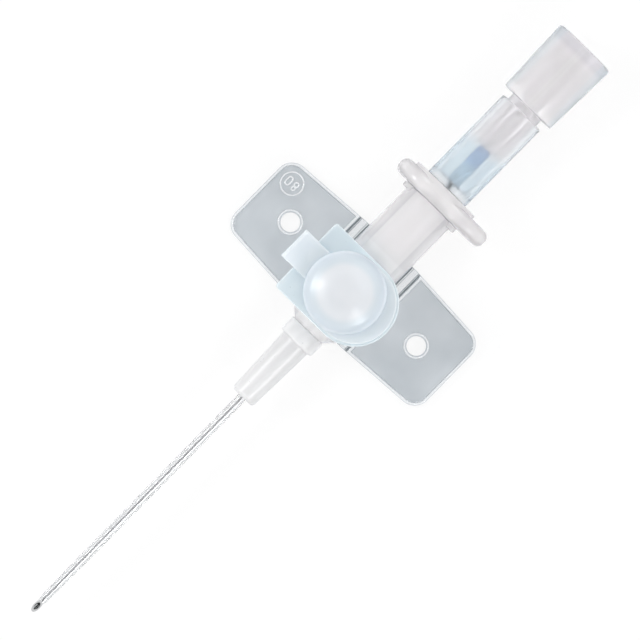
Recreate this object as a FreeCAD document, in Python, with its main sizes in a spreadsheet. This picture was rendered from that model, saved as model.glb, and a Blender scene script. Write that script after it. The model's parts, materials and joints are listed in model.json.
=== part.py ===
import FreeCAD, Part
import Sketcher
import os
import re

# Winged intravenous cannula with an upward injection port, lying on its wings.
# Millimetres. The origin is under the port on the plane the wings lie on. +X runs back
# along the needle towards the stopper and +Z runs up the port.

# Driving sizes. Distances ahead of the port are stated as positive lengths.
SIZES = {
    "axis_height": 3.9,
    # shared small sizes: a slip keeps neighbours apart, a spare length clears a cut
    "slip": 0.05,
    "spare": 1.0,
    "edge_break": 0.2,
    # hub: nose, collar, shoulder, barrel with its tapered socket and two lock lugs
    "shoulder_front": 5.85,
    "shoulder_length": 1.2,
    "shoulder_radius": 2.1,
    "hub_collar_length": 1.93,
    "hub_collar_radius": 2.265,
    "nose_length": 8.48,
    "nose_front_radius": 1.565,
    "nose_back_radius": 1.835,
    "nose_rounding": 0.45,
    "barrel_end": 13.71,
    "barrel_radius": 3.3,
    "lug_length": 0.6,
    "lug_reach": 0.6,
    "lug_half_height": 1.75,
    "socket_mouth_radius": 2.15,
    "socket_depth": 8.81,
    "cone_slope": 0.03,
    "taper_clearance": 0.03,
    # port on the hub
    "port_boss_radius": 3.7,
    "port_boss_rise": 3.4,
    "port_radius": 3.0,
    "port_bead": 0.2,
    "port_bead_height": 0.3,
    "port_depth": 5.0,
    "port_passage_radius": 1.1,
    # sleeve valve under the port
    "valve_front": 3.6,
    "valve_radius": 1.85,
    "valve_wall": 0.5,
    "valve_end_gap": 0.25,
    # catheter and the ferrule that wedges it into the nose
    "funnel_front": 7.4,
    "funnel_radius": 1.02,
    "seat_front": 8.2,
    "seat_length": 2.4,
    "flare_length": 0.6,
    "catheter_radius": 0.55,
    "catheter_wall": 0.12,
    "catheter_flare": 0.15,
    "catheter_free_length": 31.64,
    "catheter_tip_narrowing": 0.09,
    "catheter_tip_taper": 7.4,
    "ferrule_wall": 0.1,
    "ferrule_mouth_gap": 0.04,
    # wings: a saddle under the hub, a rib, a thin bending line and a panel on each side
    "wing_centre": 1.36,
    "wing_root_half": 5.99,
    "wing_narrowing": 0.69,
    "wing_root_side": 4.0,
    "wing_span": 29.9,
    "wing_corner": 1.8,
    "wing_rim_height": 1.0,
    "wing_rim_width": 0.35,
    "wing_panel_drop": 0.3,
    "saddle_half": 3.2,
    "saddle_height": 2.0,
    "saddle_clearance": 0.02,
    "rib_gap": 0.42,
    "rib_width": 0.74,
    "rib_height": 1.5,
    "bend_width": 0.5,
    "bend_web": 0.35,
    "panel_margin": 0.24,
    "suture_inset": 5.115,
    "suture_radius": 1.05,
    "suture_ring_width": 0.4,
    "mark_radius": 1.4,
    "mark_line": 0.2,
    "mark_back": 3.2,
    "mark_inset": 2.25,
    # swivelling collar of the port cap
    "plate_half": 4.9,
    "plate_square_end": 6.06,
    "plate_round_end": 6.43,
    "plate_lift": 0.2,
    "plate_thickness": 1.35,
    "plate_corner": 0.35,
    "swivel_clearance": 0.05,
    # flip lid of the port cap, joined to the collar by its strap
    "strap_half": 1.99,
    "strap_thickness": 0.58,
    "strap_lift": 0.07,
    "hinge_reach": 1.29,
    "hinge_clearance": 0.05,
    "cradle_drop": 0.25,
    "lid_radius": 4.64,
    "lid_lift": 0.15,
    "lid_height": 4.6,
    "lid_wall": 0.74,
    "lid_crown": 0.9,
    "lid_crown_drop": 1.25,
    "lid_crown_flat": 1.62,
    "lid_crown_rounding": 5.8,
    "lid_shoulder_rounding": 1.7,
    "lid_cavity_slope": 1.1,
    "lip_inset": 0.3,
    "lip_thickness": 0.5,
    "plug_gap": 0.2,
    "plug_taper": 0.39,
    "plug_depth": 0.7,
    "port_headroom": 0.7,
    # needle and what travels with it
    "needle_radius": 0.4,
    "needle_wall": 0.15,
    "needle_lead": 1.72,
    "needle_bevel": 1.63,
    "needle_in_tube": 1.96,
    "cone_length": 7.46,
    "cone_rounding": 0.6,
    "flange_gap": 0.05,
    "flange_thickness": 1.98,
    "flange_half": 6.48,
    "flange_half_height": 3.8,
    "flange_offset": 0.67,
    "flange_rounding": 0.85,
    "boss_half": 4.37,
    "boss_length": 0.4,
    "spigot_radius": 2.1,
    "spigot_length": 1.24,
    "chamber_length": 11.9,
    "chamber_radius": 2.865,
    "chamber_wall_front": 0.9,
    "tube_radius": 0.825,
    "tube_length": 5.25,
    "tube_bore_radius": 0.55,
    # stopper: a tapered stem, a core and a skirt round it, with a vent disc in the core
    "stopper_neck": 0.9,
    "stem_length": 6.6,
    "stem_back_radius": 2.2,
    "stem_bore_radius": 1.0,
    "head_length": 9.2,
    "head_front_radius": 3.5,
    "head_flare": 0.3,
    "head_wall": 0.5,
    "head_web": 1.26,
    "head_rounding": 0.4,
    "core_gap": 0.3,
    "core_recess": 0.44,
    "disc_step": 0.4,
    "disc_depth": 3.14,
    "disc_thickness": 1.2,
    "notch_length": 1.0,
    "notch_side": 1.3,
}

# Stations and sizes that follow from the driving sizes, each from those above it.
DERIVED = {
    "shoulder_back": "shoulder_front - shoulder_length",
    "nose_back": "shoulder_front + hub_collar_length",
    "nose_front": "nose_back + nose_length",
    "catheter_tip": "nose_front + catheter_free_length",
    "needle_tip": "catheter_tip + needle_lead",
    "seat_end": "seat_front + seat_length",
    "flare_end": "seat_end + flare_length",
    "flared_radius": "catheter_radius + catheter_flare",
    "socket_floor": "barrel_end - socket_depth",
    "flange_front": "barrel_end + flange_gap",
    "flange_middle": "flange_front + flange_thickness / 2",
    "flange_back": "flange_front + flange_thickness",
    "grip_back": "flange_back + boss_length",
    "spigot_front": "grip_back - spigot_length",
    "chamber_inside": "grip_back + chamber_wall_front",
    "chamber_back": "grip_back + chamber_length",
    "needle_back": "chamber_inside + needle_in_tube",
    "head_front": "chamber_back + stopper_neck",
    "head_back": "head_front + head_length",
    "stem_front": "head_front - stem_length",
    "stem_front_radius": "stem_back_radius - cone_slope * stem_length",
    "core_radius": "head_front_radius - head_wall - core_gap",
    "disc_radius": "stem_bore_radius + disc_step",
    "wing_tip_half": "wing_root_half - wing_narrowing",
    "rib_inner": "saddle_half + rib_gap",
    "bend_inner": "rib_inner + rib_width",
    "bend_outer": "bend_inner + bend_width",
    "panel_start": "bend_outer + panel_margin",
    "suture_side": "wing_span / 2 - suture_inset",
    "mark_side": "wing_span / 2 - mark_inset",
    "plate_bottom": "axis_height + port_boss_rise + plate_lift",
    "plate_top": "plate_bottom + plate_thickness",
    "hinge_height": "plate_top + strap_lift",
    "hinge_side": "plate_square_end + hinge_reach",
    "lid_bottom": "plate_top + lid_lift",
    "lid_top": "lid_bottom + lid_height",
    "lid_ceiling": "lid_top - lid_crown",
    "port_top": "lid_ceiling - port_headroom",
    "port_floor": "port_top - port_depth",
    "plug_radius": "socket_mouth_radius - plug_gap",
}

# Marks a corner of an outline that is cut off flat instead of rounded.
FLAT = "flat"

doc = FreeCAD.newDocument("cannula")
sheet = doc.addObject("Spreadsheet::Sheet", "Sizes")
NAMES = list(SIZES) + list(DERIVED)


def fill_sheet():
    rows = [(name, str(size)) for name, size in SIZES.items()]
    rows += [(name, "=" + formula) for name, formula in DERIVED.items()]
    for row, (name, entry) in enumerate(rows, 1):
        sheet.set("A%d" % row, name)
        sheet.setAlias("B%d" % row, name)
        sheet.set("B%d" % row, entry)
    doc.recompute()


def sized(formula):
    # Each alias in a formula is looked up in the sheet of sizes.
    return re.sub("[a-z_]+", lambda word: "Sizes." + word.group(0) if word.group(0) in NAMES
                  else word.group(0), formula)


def number(formula):
    return float(sheet.evalExpression(formula))


def new_body(label, height=None):
    body = doc.addObject("PartDesign::Body", label)
    body.Label = label
    if height:
        body.setExpression("Placement.Base.z", sized(height))
    return body


def new_sketch(body, name, role, offset=None):
    sketch = body.newObject("Sketcher::SketchObject", body.Name + "_" + name)
    plane = [item for item in body.Origin.OriginFeatures if item.Role == role][0]
    sketch.AttachmentSupport = [(plane, "")]
    sketch.MapMode = "FlatFace"
    if offset:
        sketch.setExpression("AttachmentOffset.Base.z", sized(offset))
    return sketch


def constrain(sketch, kind, refs, formula):
    index = sketch.addConstraint(Sketcher.Constraint(kind, *refs, number(formula)))
    sketch.setExpression("Constraints[%d]" % index, sized(formula))


def cut_corners(corners):
    # Turns each flat-cut corner into two corners, one on each of its neighbouring lines.
    done = []
    for index, corner in enumerate(corners):
        if corner[-1] != FLAT:
            done.append(corner)
            continue
        across, up, size = corner[:3]
        for near in (corners[index - 1], corners[(index + 1) % len(corners)]):
            upright = near[0] == across
            axis = 1 if upright else 0
            sign = " + " if number(near[axis]) > number(corner[axis]) else " - "
            moved = corner[axis] + sign + size
            done.append((across, moved) if upright else (moved, up))
    return done


def add_outline(sketch, corners):
    # corners: (across, up), (across, up, rounding) or (across, up, size, FLAT) formulas in
    # order round a closed outline
    corners = cut_corners(corners)
    first = sketch.GeometryCount
    spots = [FreeCAD.Vector(number(corner[0]), number(corner[1]), 0) for corner in corners]
    count = len(spots)
    for index in range(count):
        sketch.addGeometry(Part.LineSegment(spots[index], spots[(index + 1) % count]), False)
    for index in range(count):
        ends = (first + index, 2, first + (index + 1) % count, 1)
        sketch.addConstraint(Sketcher.Constraint("Coincident", *ends))
    for index, corner in enumerate(corners):
        for kind, formula, axis in (("DistanceX", corner[0], -2), ("DistanceY", corner[1], -1)):
            if formula == "0":
                sketch.addConstraint(Sketcher.Constraint("PointOnObject", first + index, 1, axis))
            else:
                constrain(sketch, kind, (-1, 1, first + index, 1), formula)
    for index, corner in enumerate(corners):
        if len(corner) > 2:
            sketch.fillet(first + index, 1, number(corner[2]), True, True)
            constrain(sketch, "Radius", (sketch.GeometryCount - 2,), corner[2])


def add_circle(sketch, across, up, radius):
    centre = FreeCAD.Vector(number(across), number(up), 0)
    circle = Part.Circle(centre, FreeCAD.Vector(0, 0, 1), number(radius))
    index = sketch.addGeometry(circle, False)
    for kind, formula, axis in (("DistanceX", across, -2), ("DistanceY", up, -1)):
        if formula == "0":
            sketch.addConstraint(Sketcher.Constraint("PointOnObject", index, 3, axis))
        else:
            constrain(sketch, kind, (-1, 1, index, 3), formula)
    constrain(sketch, "Radius", (index,), radius)


def extrude(body, sketch, length, cut=False, both=False):
    kind = "PartDesign::Pocket" if cut else "PartDesign::Pad"
    feature = body.newObject(kind, sketch.Name + ("_cut" if cut else "_pad"))
    feature.Profile = sketch
    if both:
        feature.Midplane = True
    feature.setExpression("Length", sized(length))
    return feature


def turn(body, sketch, axis="H_Axis", cut=False):
    kind = "PartDesign::Groove" if cut else "PartDesign::Revolution"
    feature = body.newObject(kind, sketch.Name + ("_groove" if cut else "_turn"))
    feature.Profile = sketch
    feature.ReferenceAxis = (sketch, [axis])
    feature.Angle = 360
    return feature


def soften(body, feature, axis, station, radius, kind="Fillet"):
    # Rounds or bevels every edge of the flat faces that stand at one station along one axis.
    doc.recompute()
    names = []
    for index, face in enumerate(feature.Shape.Faces, 1):
        low = getattr(face.BoundBox, axis + "Min")
        high = getattr(face.BoundBox, axis + "Max")
        if high - low < 1e-4 and abs(low - number(station)) < 1e-3:
            names.append("Face%d" % index)
    dressed = body.newObject("PartDesign::" + kind, feature.Name + "_soft")
    dressed.Base = (feature, names)
    dressed.setExpression("Radius" if kind == "Fillet" else "Size", sized(radius))
    return dressed


def box(low, high, left, right):
    # Corners of a rectangle.
    return [(low, left), (high, left), (high, right), (low, right)]


def oval(half, half_height, shift):
    # A plate with round ends, shifted sideways; the rounding stops a slip short of the middle.
    rounding = half_height + " - slip"
    return [
        (shift + " + " + half, half_height, rounding),
        (shift + " - " + half, half_height, rounding),
        (shift + " - " + half, "-(" + half_height + ")", rounding),
        (shift + " + " + half, "-(" + half_height + ")", rounding),
    ]


def make_catheter_hub():
    body = new_body("catheter_hub", "axis_height")
    outside = new_sketch(body, "outside", "XZ_Plane")
    add_outline(outside, [
        ("-nose_front", "0"),
        ("-nose_front", "nose_front_radius", "nose_rounding"),
        ("-nose_back", "nose_back_radius"),
        ("-nose_back", "hub_collar_radius", "edge_break", FLAT),
        ("-shoulder_front", "hub_collar_radius", "edge_break", FLAT),
        ("-shoulder_front", "shoulder_radius"),
        ("-shoulder_back", "barrel_radius"),
        ("barrel_end", "barrel_radius"),
        ("barrel_end", "0"),
    ])
    turn(body, outside)
    lugs = new_sketch(body, "lugs", "YZ_Plane", "barrel_end - lug_length")
    reach = "(barrel_radius + lug_reach)"
    add_outline(lugs, [
        ("-" + reach, "-lug_half_height", "edge_break * 2", FLAT),
        (reach, "-lug_half_height", "edge_break * 2", FLAT),
        (reach, "lug_half_height", "edge_break * 2", FLAT),
        ("-" + reach, "lug_half_height", "edge_break * 2", FLAT),
    ])
    extrude(body, lugs, "lug_length")
    port = new_sketch(body, "port", "XZ_Plane")
    bead_low = "lid_bottom - slip - axis_height"
    add_outline(port, [
        ("0", "0"),
        ("port_boss_radius", "0"),
        ("port_boss_radius", "port_boss_rise", "edge_break", FLAT),
        ("port_radius", "port_boss_rise"),
        ("port_radius", bead_low),
        ("port_radius + port_bead", bead_low),
        ("port_radius", bead_low + " + port_bead_height"),
        ("port_radius", "port_top - axis_height"),
        ("0", "port_top - axis_height"),
    ])
    turn(body, port, "V_Axis")
    bore = new_sketch(body, "bore", "XZ_Plane")
    add_outline(bore, [
        ("barrel_end", "0"),
        ("barrel_end", "socket_mouth_radius"),
        ("socket_floor", "socket_mouth_radius - cone_slope * socket_depth"),
        ("socket_floor", "valve_radius"),
        ("-valve_front", "valve_radius"),
        ("-funnel_front", "funnel_radius"),
        ("-seat_front", "flared_radius"),
        ("-seat_end", "flared_radius"),
        ("-flare_end", "catheter_radius"),
        ("-nose_front", "catheter_radius"),
        ("-nose_front", "0"),
    ])
    turn(body, bore, cut=True)
    opening = new_sketch(body, "opening", "XZ_Plane")
    add_outline(opening, [
        ("0", "valve_radius / 2"),
        ("port_passage_radius", "valve_radius / 2"),
        ("port_passage_radius", "port_floor - axis_height"),
        ("socket_mouth_radius - cone_slope * port_depth", "port_floor - axis_height"),
        ("socket_mouth_radius", "port_top - axis_height"),
        ("0", "port_top - axis_height"),
    ])
    turn(body, opening, "V_Axis", cut=True)
    return body


def make_wings():
    body = new_body("wings")
    plan = new_sketch(body, "plan", "XY_Plane")
    add_outline(plan, [
        ("wing_centre - wing_root_half", "-wing_root_side"),
        ("wing_centre - wing_tip_half", "-wing_span / 2", "wing_corner"),
        ("wing_centre + wing_tip_half", "-wing_span / 2", "wing_corner"),
        ("wing_centre + wing_root_half", "-wing_root_side"),
        ("wing_centre + wing_root_half", "wing_root_side"),
        ("wing_centre + wing_tip_half", "wing_span / 2", "wing_corner"),
        ("wing_centre - wing_tip_half", "wing_span / 2", "wing_corner"),
        ("wing_centre - wing_root_half", "wing_root_side"),
    ])
    extrude(body, plan, "wing_rim_height")
    front = "wing_centre - wing_root_half"
    back = "wing_centre + wing_root_half"
    saddle = new_sketch(body, "saddle", "XY_Plane")
    add_outline(saddle, box(front, back, "-saddle_half", "saddle_half"))
    extrude(body, saddle, "saddle_height")
    ribs = new_sketch(body, "ribs", "XY_Plane")
    bends = new_sketch(body, "bends", "XY_Plane", "wing_rim_height")
    for side in ("", "-"):
        add_outline(ribs, box(front, back, side + "rib_inner", side + "bend_inner"))
        add_outline(bends, box(front + " - spare", back + " + spare", side + "bend_inner",
                               side + "bend_outer"))
    extrude(body, ribs, "rib_height")
    extrude(body, bends, "wing_rim_height - bend_web", cut=True)
    panels = new_sketch(body, "panels", "XY_Plane", "wing_rim_height")
    holes = new_sketch(body, "holes", "XY_Plane", "saddle_height")
    near = "(wing_root_half - wing_rim_width * 1.25)"
    far = "(wing_tip_half - wing_rim_width)"
    for side in ("", "-"):
        start = side + "panel_start"
        end = side + "(wing_span / 2 - wing_rim_width)"
        add_outline(panels, [
            ("wing_centre - " + near, start, "wing_rim_width"),
            ("wing_centre + " + near, start, "wing_rim_width"),
            ("wing_centre + " + far, end, "wing_corner - wing_rim_width"),
            ("wing_centre - " + far, end, "wing_corner - wing_rim_width"),
        ])
        add_circle(panels, "wing_centre", side + "suture_side", "suture_radius + suture_ring_width")
        add_circle(holes, "wing_centre", side + "suture_side", "suture_radius")
    extrude(body, panels, "wing_panel_drop", cut=True)
    mark = new_sketch(body, "mark", "XY_Plane", "wing_rim_height - wing_panel_drop")
    add_circle(mark, "wing_centre + mark_back", "mark_side", "mark_radius")
    add_circle(mark, "wing_centre + mark_back", "mark_side", "mark_radius - mark_line")
    extrude(body, mark, "wing_panel_drop / 2")
    extrude(body, holes, "saddle_height + spare", cut=True)
    cradle = new_sketch(body, "cradle", "YZ_Plane")
    add_circle(cradle, "0", "axis_height", "barrel_radius + saddle_clearance")
    extrude(body, cradle, "wing_root_half * 4", cut=True, both=True)
    return body


def make_port_valve():
    body = new_body("port_valve", "axis_height")
    wall = new_sketch(body, "wall", "XZ_Plane")
    add_outline(wall, box("-(valve_front - valve_end_gap)", "socket_floor - valve_end_gap",
                          "valve_radius - valve_wall", "valve_radius"))
    turn(body, wall)
    return body


def make_catheter_tube():
    body = new_body("catheter_tube", "axis_height")
    wall = new_sketch(body, "wall", "XZ_Plane")
    add_outline(wall, [
        ("-catheter_tip", "catheter_radius - catheter_wall"),
        ("-catheter_tip", "catheter_radius - catheter_tip_narrowing"),
        ("-(catheter_tip - catheter_tip_taper)", "catheter_radius"),
        ("-flare_end", "catheter_radius"),
        ("-seat_end", "flared_radius"),
        ("-(seat_front + ferrule_wall)", "flared_radius"),
        ("-(seat_front + ferrule_wall)", "flared_radius - ferrule_wall"),
        ("-(seat_end + ferrule_wall)", "flared_radius - ferrule_wall"),
        ("-flare_end", "catheter_radius - catheter_wall"),
    ])
    turn(body, wall)
    return body


def make_catheter_ferrule():
    body = new_body("catheter_ferrule", "axis_height")
    wall = new_sketch(body, "wall", "XZ_Plane")
    outer = "flared_radius - ferrule_wall"
    mouth = "funnel_radius - ferrule_mouth_gap"
    add_outline(wall, [
        ("-(seat_end + ferrule_wall)", outer),
        ("-(seat_end + ferrule_wall)", outer + " - ferrule_wall"),
        ("-seat_front", outer + " - ferrule_wall"),
        ("-(funnel_front - ferrule_wall)", mouth + " - ferrule_wall"),
        ("-funnel_front", mouth),
        ("-seat_front", outer),
    ])
    turn(body, wall)
    return body


def make_port_cap_collar():
    body = new_body("port_cap_collar")
    plan = new_sketch(body, "plan", "XY_Plane", "plate_bottom")
    add_outline(plan, [
        ("plate_half", "plate_square_end", "plate_corner"),
        ("-plate_half", "plate_square_end", "plate_corner"),
        ("-plate_half", "-plate_round_end", "plate_half - slip"),
        ("plate_half", "-plate_round_end", "plate_half - slip"),
    ])
    plate = extrude(body, plan, "plate_thickness")
    soften(body, plate, "Z", "plate_top", "edge_break / 2", "Chamfer")
    tongue = new_sketch(body, "tongue", "XY_Plane", "plate_bottom")
    half = "(strap_half - slip)"
    add_outline(tongue, box("-" + half, half, "plate_square_end - plate_corner",
                            "hinge_side + strap_thickness - slip * 2"))
    extrude(body, tongue, "hinge_height - cradle_drop - plate_bottom")
    hole = new_sketch(body, "hole", "XY_Plane", "plate_top")
    add_circle(hole, "0", "0", "port_radius + swivel_clearance")
    extrude(body, hole, "plate_thickness", cut=True)
    cradle = new_sketch(body, "cradle", "YZ_Plane")
    add_circle(cradle, "hinge_side", "hinge_height", "strap_thickness + hinge_clearance")
    extrude(body, cradle, "plate_half * 2", cut=True, both=True)
    return body


def make_port_cap_lid():
    body = new_body("port_cap_lid")
    lip = new_sketch(body, "lip", "XY_Plane", "lid_bottom")
    half = "(plate_half - lip_inset)"
    add_outline(lip, [
        (half, "0"),
        ("-" + half, "0"),
        ("-" + half, "-(plate_round_end - lip_inset)", half + " - slip"),
        (half, "-(plate_round_end - lip_inset)", half + " - slip"),
    ])
    extrude(body, lip, "lip_thickness")
    dome = new_sketch(body, "dome", "XZ_Plane")
    add_outline(dome, [
        ("0", "lid_bottom"),
        ("lid_radius", "lid_bottom"),
        ("lid_radius", "lid_top - lid_crown_drop", "lid_shoulder_rounding"),
        ("lid_crown_flat", "lid_top", "lid_crown_rounding"),
        ("0", "lid_top"),
    ])
    turn(body, dome, "V_Axis")
    inner = "(lid_radius - lid_wall)"
    strap = new_sketch(body, "strap", "XY_Plane", "hinge_height")
    add_outline(strap, box("-strap_half", "strap_half", inner + " + slip * 2", "hinge_side"))
    extrude(body, strap, "strap_thickness")
    knuckle = new_sketch(body, "knuckle", "YZ_Plane")
    add_circle(knuckle, "hinge_side", "hinge_height", "strap_thickness")
    extrude(body, knuckle, "strap_half * 2", both=True)
    hollow = new_sketch(body, "hollow", "XZ_Plane")
    add_outline(hollow, [
        ("0", "plate_bottom"),
        (inner, "plate_bottom"),
        (inner, "lid_ceiling - lid_cavity_slope"),
        (inner + " - lid_cavity_slope", "lid_ceiling"),
        ("plug_radius", "lid_ceiling"),
        ("plug_radius", "port_top"),
        ("plug_radius - plug_taper", "port_top - plug_depth"),
        ("0", "port_top - plug_depth"),
    ])
    turn(body, hollow, "V_Axis", cut=True)
    return body


def make_needle():
    body = new_body("needle", "axis_height")
    wall = new_sketch(body, "wall", "XZ_Plane")
    add_outline(wall, box("-needle_tip", "needle_back", "needle_radius - needle_wall",
                          "needle_radius"))
    turn(body, wall)
    slant = new_sketch(body, "slant", "XZ_Plane")
    add_outline(slant, [
        ("-needle_tip", "-needle_radius"),
        ("-(needle_tip - needle_bevel)", "needle_radius"),
        ("-(needle_tip - needle_bevel)", "needle_radius * 2"),
        ("-(needle_tip + spare)", "needle_radius * 2"),
        ("-(needle_tip + spare)", "-needle_radius"),
    ])
    extrude(body, slant, "needle_radius * 4", cut=True, both=True)
    return body


def make_needle_grip():
    body = new_body("needle_grip", "axis_height")
    flange = new_sketch(body, "flange", "YZ_Plane", "flange_front")
    add_outline(flange, oval("flange_half", "flange_half_height", "-flange_offset"))
    plate = extrude(body, flange, "flange_thickness")
    eased = soften(body, plate, "X", "flange_front", "flange_rounding")
    soften(body, eased, "X", "flange_back", "flange_rounding")
    boss = new_sketch(body, "boss", "YZ_Plane", "flange_middle")
    add_outline(boss, oval("boss_half", "flange_half_height - slip", "0"))
    extrude(body, boss, "flange_thickness / 2 + boss_length")
    cone = new_sketch(body, "cone", "XZ_Plane")
    wide = "socket_mouth_radius - taper_clearance"
    add_outline(cone, [
        ("barrel_end - cone_length", "0"),
        ("barrel_end - cone_length", wide + " - cone_slope * cone_length", "cone_rounding"),
        ("barrel_end", wide),
        ("flange_middle", wide),
        ("flange_middle", "0"),
    ])
    turn(body, cone)
    bore = new_sketch(body, "bore", "XZ_Plane")
    add_outline(bore, [
        ("0", "0"),
        ("0", "needle_radius"),
        ("spigot_front", "needle_radius"),
        ("spigot_front", "spigot_radius"),
        ("grip_back", "spigot_radius"),
        ("grip_back", "0"),
    ])
    turn(body, bore, cut=True)
    return body


def make_flash_chamber():
    body = new_body("flash_chamber", "axis_height")
    wall = new_sketch(body, "wall", "XZ_Plane")
    narrow = "stem_front_radius + taper_clearance"
    add_outline(wall, [
        ("spigot_front", "needle_radius"),
        ("spigot_front", "spigot_radius"),
        ("grip_back", "spigot_radius"),
        ("grip_back", "chamber_radius", "edge_break", FLAT),
        ("chamber_back", "chamber_radius", "edge_break", FLAT),
        ("chamber_back", "stem_back_radius - cone_slope * stopper_neck + taper_clearance"),
        ("stem_front", narrow),
        ("chamber_inside", narrow, "edge_break", FLAT),
        ("chamber_inside", "needle_radius"),
    ])
    turn(body, wall)
    return body


def make_flash_tube():
    body = new_body("flash_tube", "axis_height")
    wall = new_sketch(body, "wall", "XZ_Plane")
    add_outline(wall, [
        ("chamber_inside", "needle_radius"),
        ("chamber_inside", "tube_radius"),
        ("chamber_inside + tube_length", "tube_radius"),
        ("chamber_inside + tube_length", "tube_bore_radius"),
        ("needle_back", "tube_bore_radius"),
        ("needle_back", "needle_radius"),
    ])
    turn(body, wall)
    return body


def make_end_stopper():
    body = new_body("end_stopper", "axis_height")
    wall = new_sketch(body, "wall", "XZ_Plane")
    back_radius = "head_front_radius + head_flare"
    add_outline(wall, [
        ("stem_front", "stem_bore_radius"),
        ("stem_front", "stem_front_radius"),
        ("head_front", "stem_back_radius"),
        ("head_front", "head_front_radius", "edge_break", FLAT),
        ("head_back", back_radius, "head_rounding"),
        ("head_back", back_radius + " - head_wall"),
        ("head_front + head_web", "head_front_radius - head_wall"),
        ("head_front + head_web", "core_radius"),
        ("head_back - core_recess", "core_radius", "edge_break", FLAT),
        ("head_back - core_recess", "disc_radius"),
        ("head_back - disc_depth", "disc_radius"),
        ("head_back - disc_depth", "stem_bore_radius"),
    ])
    turn(body, wall)
    notch = new_sketch(body, "notch", "YZ_Plane", "head_back - core_recess")
    add_outline(notch, [
        ("-notch_side", "core_radius + slip"),
        ("-(core_radius + slip * 3)", "core_radius / 2"),
        ("-(core_radius + slip * 3)", "-core_radius / 2"),
        ("-notch_side", "-(core_radius + slip)"),
    ])
    extrude(body, notch, "notch_length", cut=True)
    return body


def make_vent_filter():
    body = new_body("vent_filter", "axis_height")
    disc = new_sketch(body, "disc", "XZ_Plane")
    front = "head_back - disc_depth"
    add_outline(disc, box(front, front + " + disc_thickness", "0", "disc_radius"))
    turn(body, disc)
    return body


def check_and_write(parts):
    doc.recompute()
    for item in doc.Objects:
        if "Invalid" in item.State or "Error" in item.State:
            raise RuntimeError(item.Name + " did not compute: " + str(item.State))
    os.makedirs("parts", exist_ok=True)
    for body in parts:
        shape = body.Shape
        if shape.isNull() or not shape.isValid() or len(shape.Solids) != 1:
            raise RuntimeError(body.Label + " has no single sound solid")
        shape.exportStep("parts/" + body.Label + ".step")


fill_sheet()
check_and_write([
    make_catheter_hub(),
    make_wings(),
    make_port_valve(),
    make_catheter_tube(),
    make_catheter_ferrule(),
    make_port_cap_collar(),
    make_port_cap_lid(),
    make_needle(),
    make_needle_grip(),
    make_flash_chamber(),
    make_flash_tube(),
    make_end_stopper(),
    make_vent_filter(),
])
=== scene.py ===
import bmesh
import bpy
import json
import math
from mathutils import Matrix, Vector


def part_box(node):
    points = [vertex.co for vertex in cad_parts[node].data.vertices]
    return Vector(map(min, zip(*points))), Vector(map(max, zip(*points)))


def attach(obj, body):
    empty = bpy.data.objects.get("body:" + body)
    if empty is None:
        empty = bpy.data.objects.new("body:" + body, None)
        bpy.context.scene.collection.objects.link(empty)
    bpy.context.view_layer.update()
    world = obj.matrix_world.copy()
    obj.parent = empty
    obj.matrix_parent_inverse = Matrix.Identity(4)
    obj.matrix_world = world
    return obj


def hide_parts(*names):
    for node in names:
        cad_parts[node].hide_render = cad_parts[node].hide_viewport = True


# A ported, winged IV cannula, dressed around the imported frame.
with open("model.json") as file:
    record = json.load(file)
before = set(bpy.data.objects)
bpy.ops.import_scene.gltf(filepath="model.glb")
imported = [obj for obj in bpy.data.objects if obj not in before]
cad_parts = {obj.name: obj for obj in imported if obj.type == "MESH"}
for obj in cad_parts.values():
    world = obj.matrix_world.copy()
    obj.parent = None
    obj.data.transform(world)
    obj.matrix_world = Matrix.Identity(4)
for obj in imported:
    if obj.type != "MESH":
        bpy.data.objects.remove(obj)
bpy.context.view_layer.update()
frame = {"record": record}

# Pieces are drawn in millimetres, and finish_piece turns them into metres.
MM = 0.001
BODIES = {node: body for body, group in frame["record"]["behaviour"]["bodies"].items() for node in group}


def extent(node, axis):
    low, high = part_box(node)
    return low[axis] / MM, high[axis] / MM


# Places read from the frame
NEEDLE_TIP, NEEDLE_BACK = extent("needle", 0)
TUBE_TIP, TUBE_BACK = extent("catheter_tube", 0)
NOSE_FRONT, BARREL_END = extent("catheter_hub", 0)
CHAMBER_FRONT, CHAMBER_BACK = extent("flash_chamber", 0)
GRIP_FRONT, GRIP_BACK = extent("needle_grip", 0)
STEM_FRONT, HEAD_BACK = extent("end_stopper", 0)
FLASH_FRONT, FLASH_BACK = extent("flash_tube", 0)
FERRULE_FRONT, FERRULE_BACK = extent("catheter_ferrule", 0)
VALVE_FRONT, VALVE_BACK = extent("port_valve", 0)
FILTER_FRONT, FILTER_BACK = extent("vent_filter", 0)
PLATE_LOW, PLATE_TOP = extent("port_cap_collar", 2)
LID_TOP = extent("port_cap_lid", 2)[1]
PORT_TOP = extent("catheter_hub", 2)[1]
AXIS_HEIGHT = sum(extent("needle", 2)) / 2
WING_SPAN = extent("wings", 1)[1] * 2
WING_CENTRE = sum(extent("wings", 0)) / 2

# Fineness of the meshes, in steps, millimetres and radians
TURN_STEPS = 96
DOME_STEPS = 128
FINE_STEPS = 64
BAR_STEPS = 48
CORNER_STEPS = 5
ARC_STEP = 0.25
WELD = 1e-4
ON_AXIS = 1e-6
SHARP_ANGLE = math.radians(38)


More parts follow.
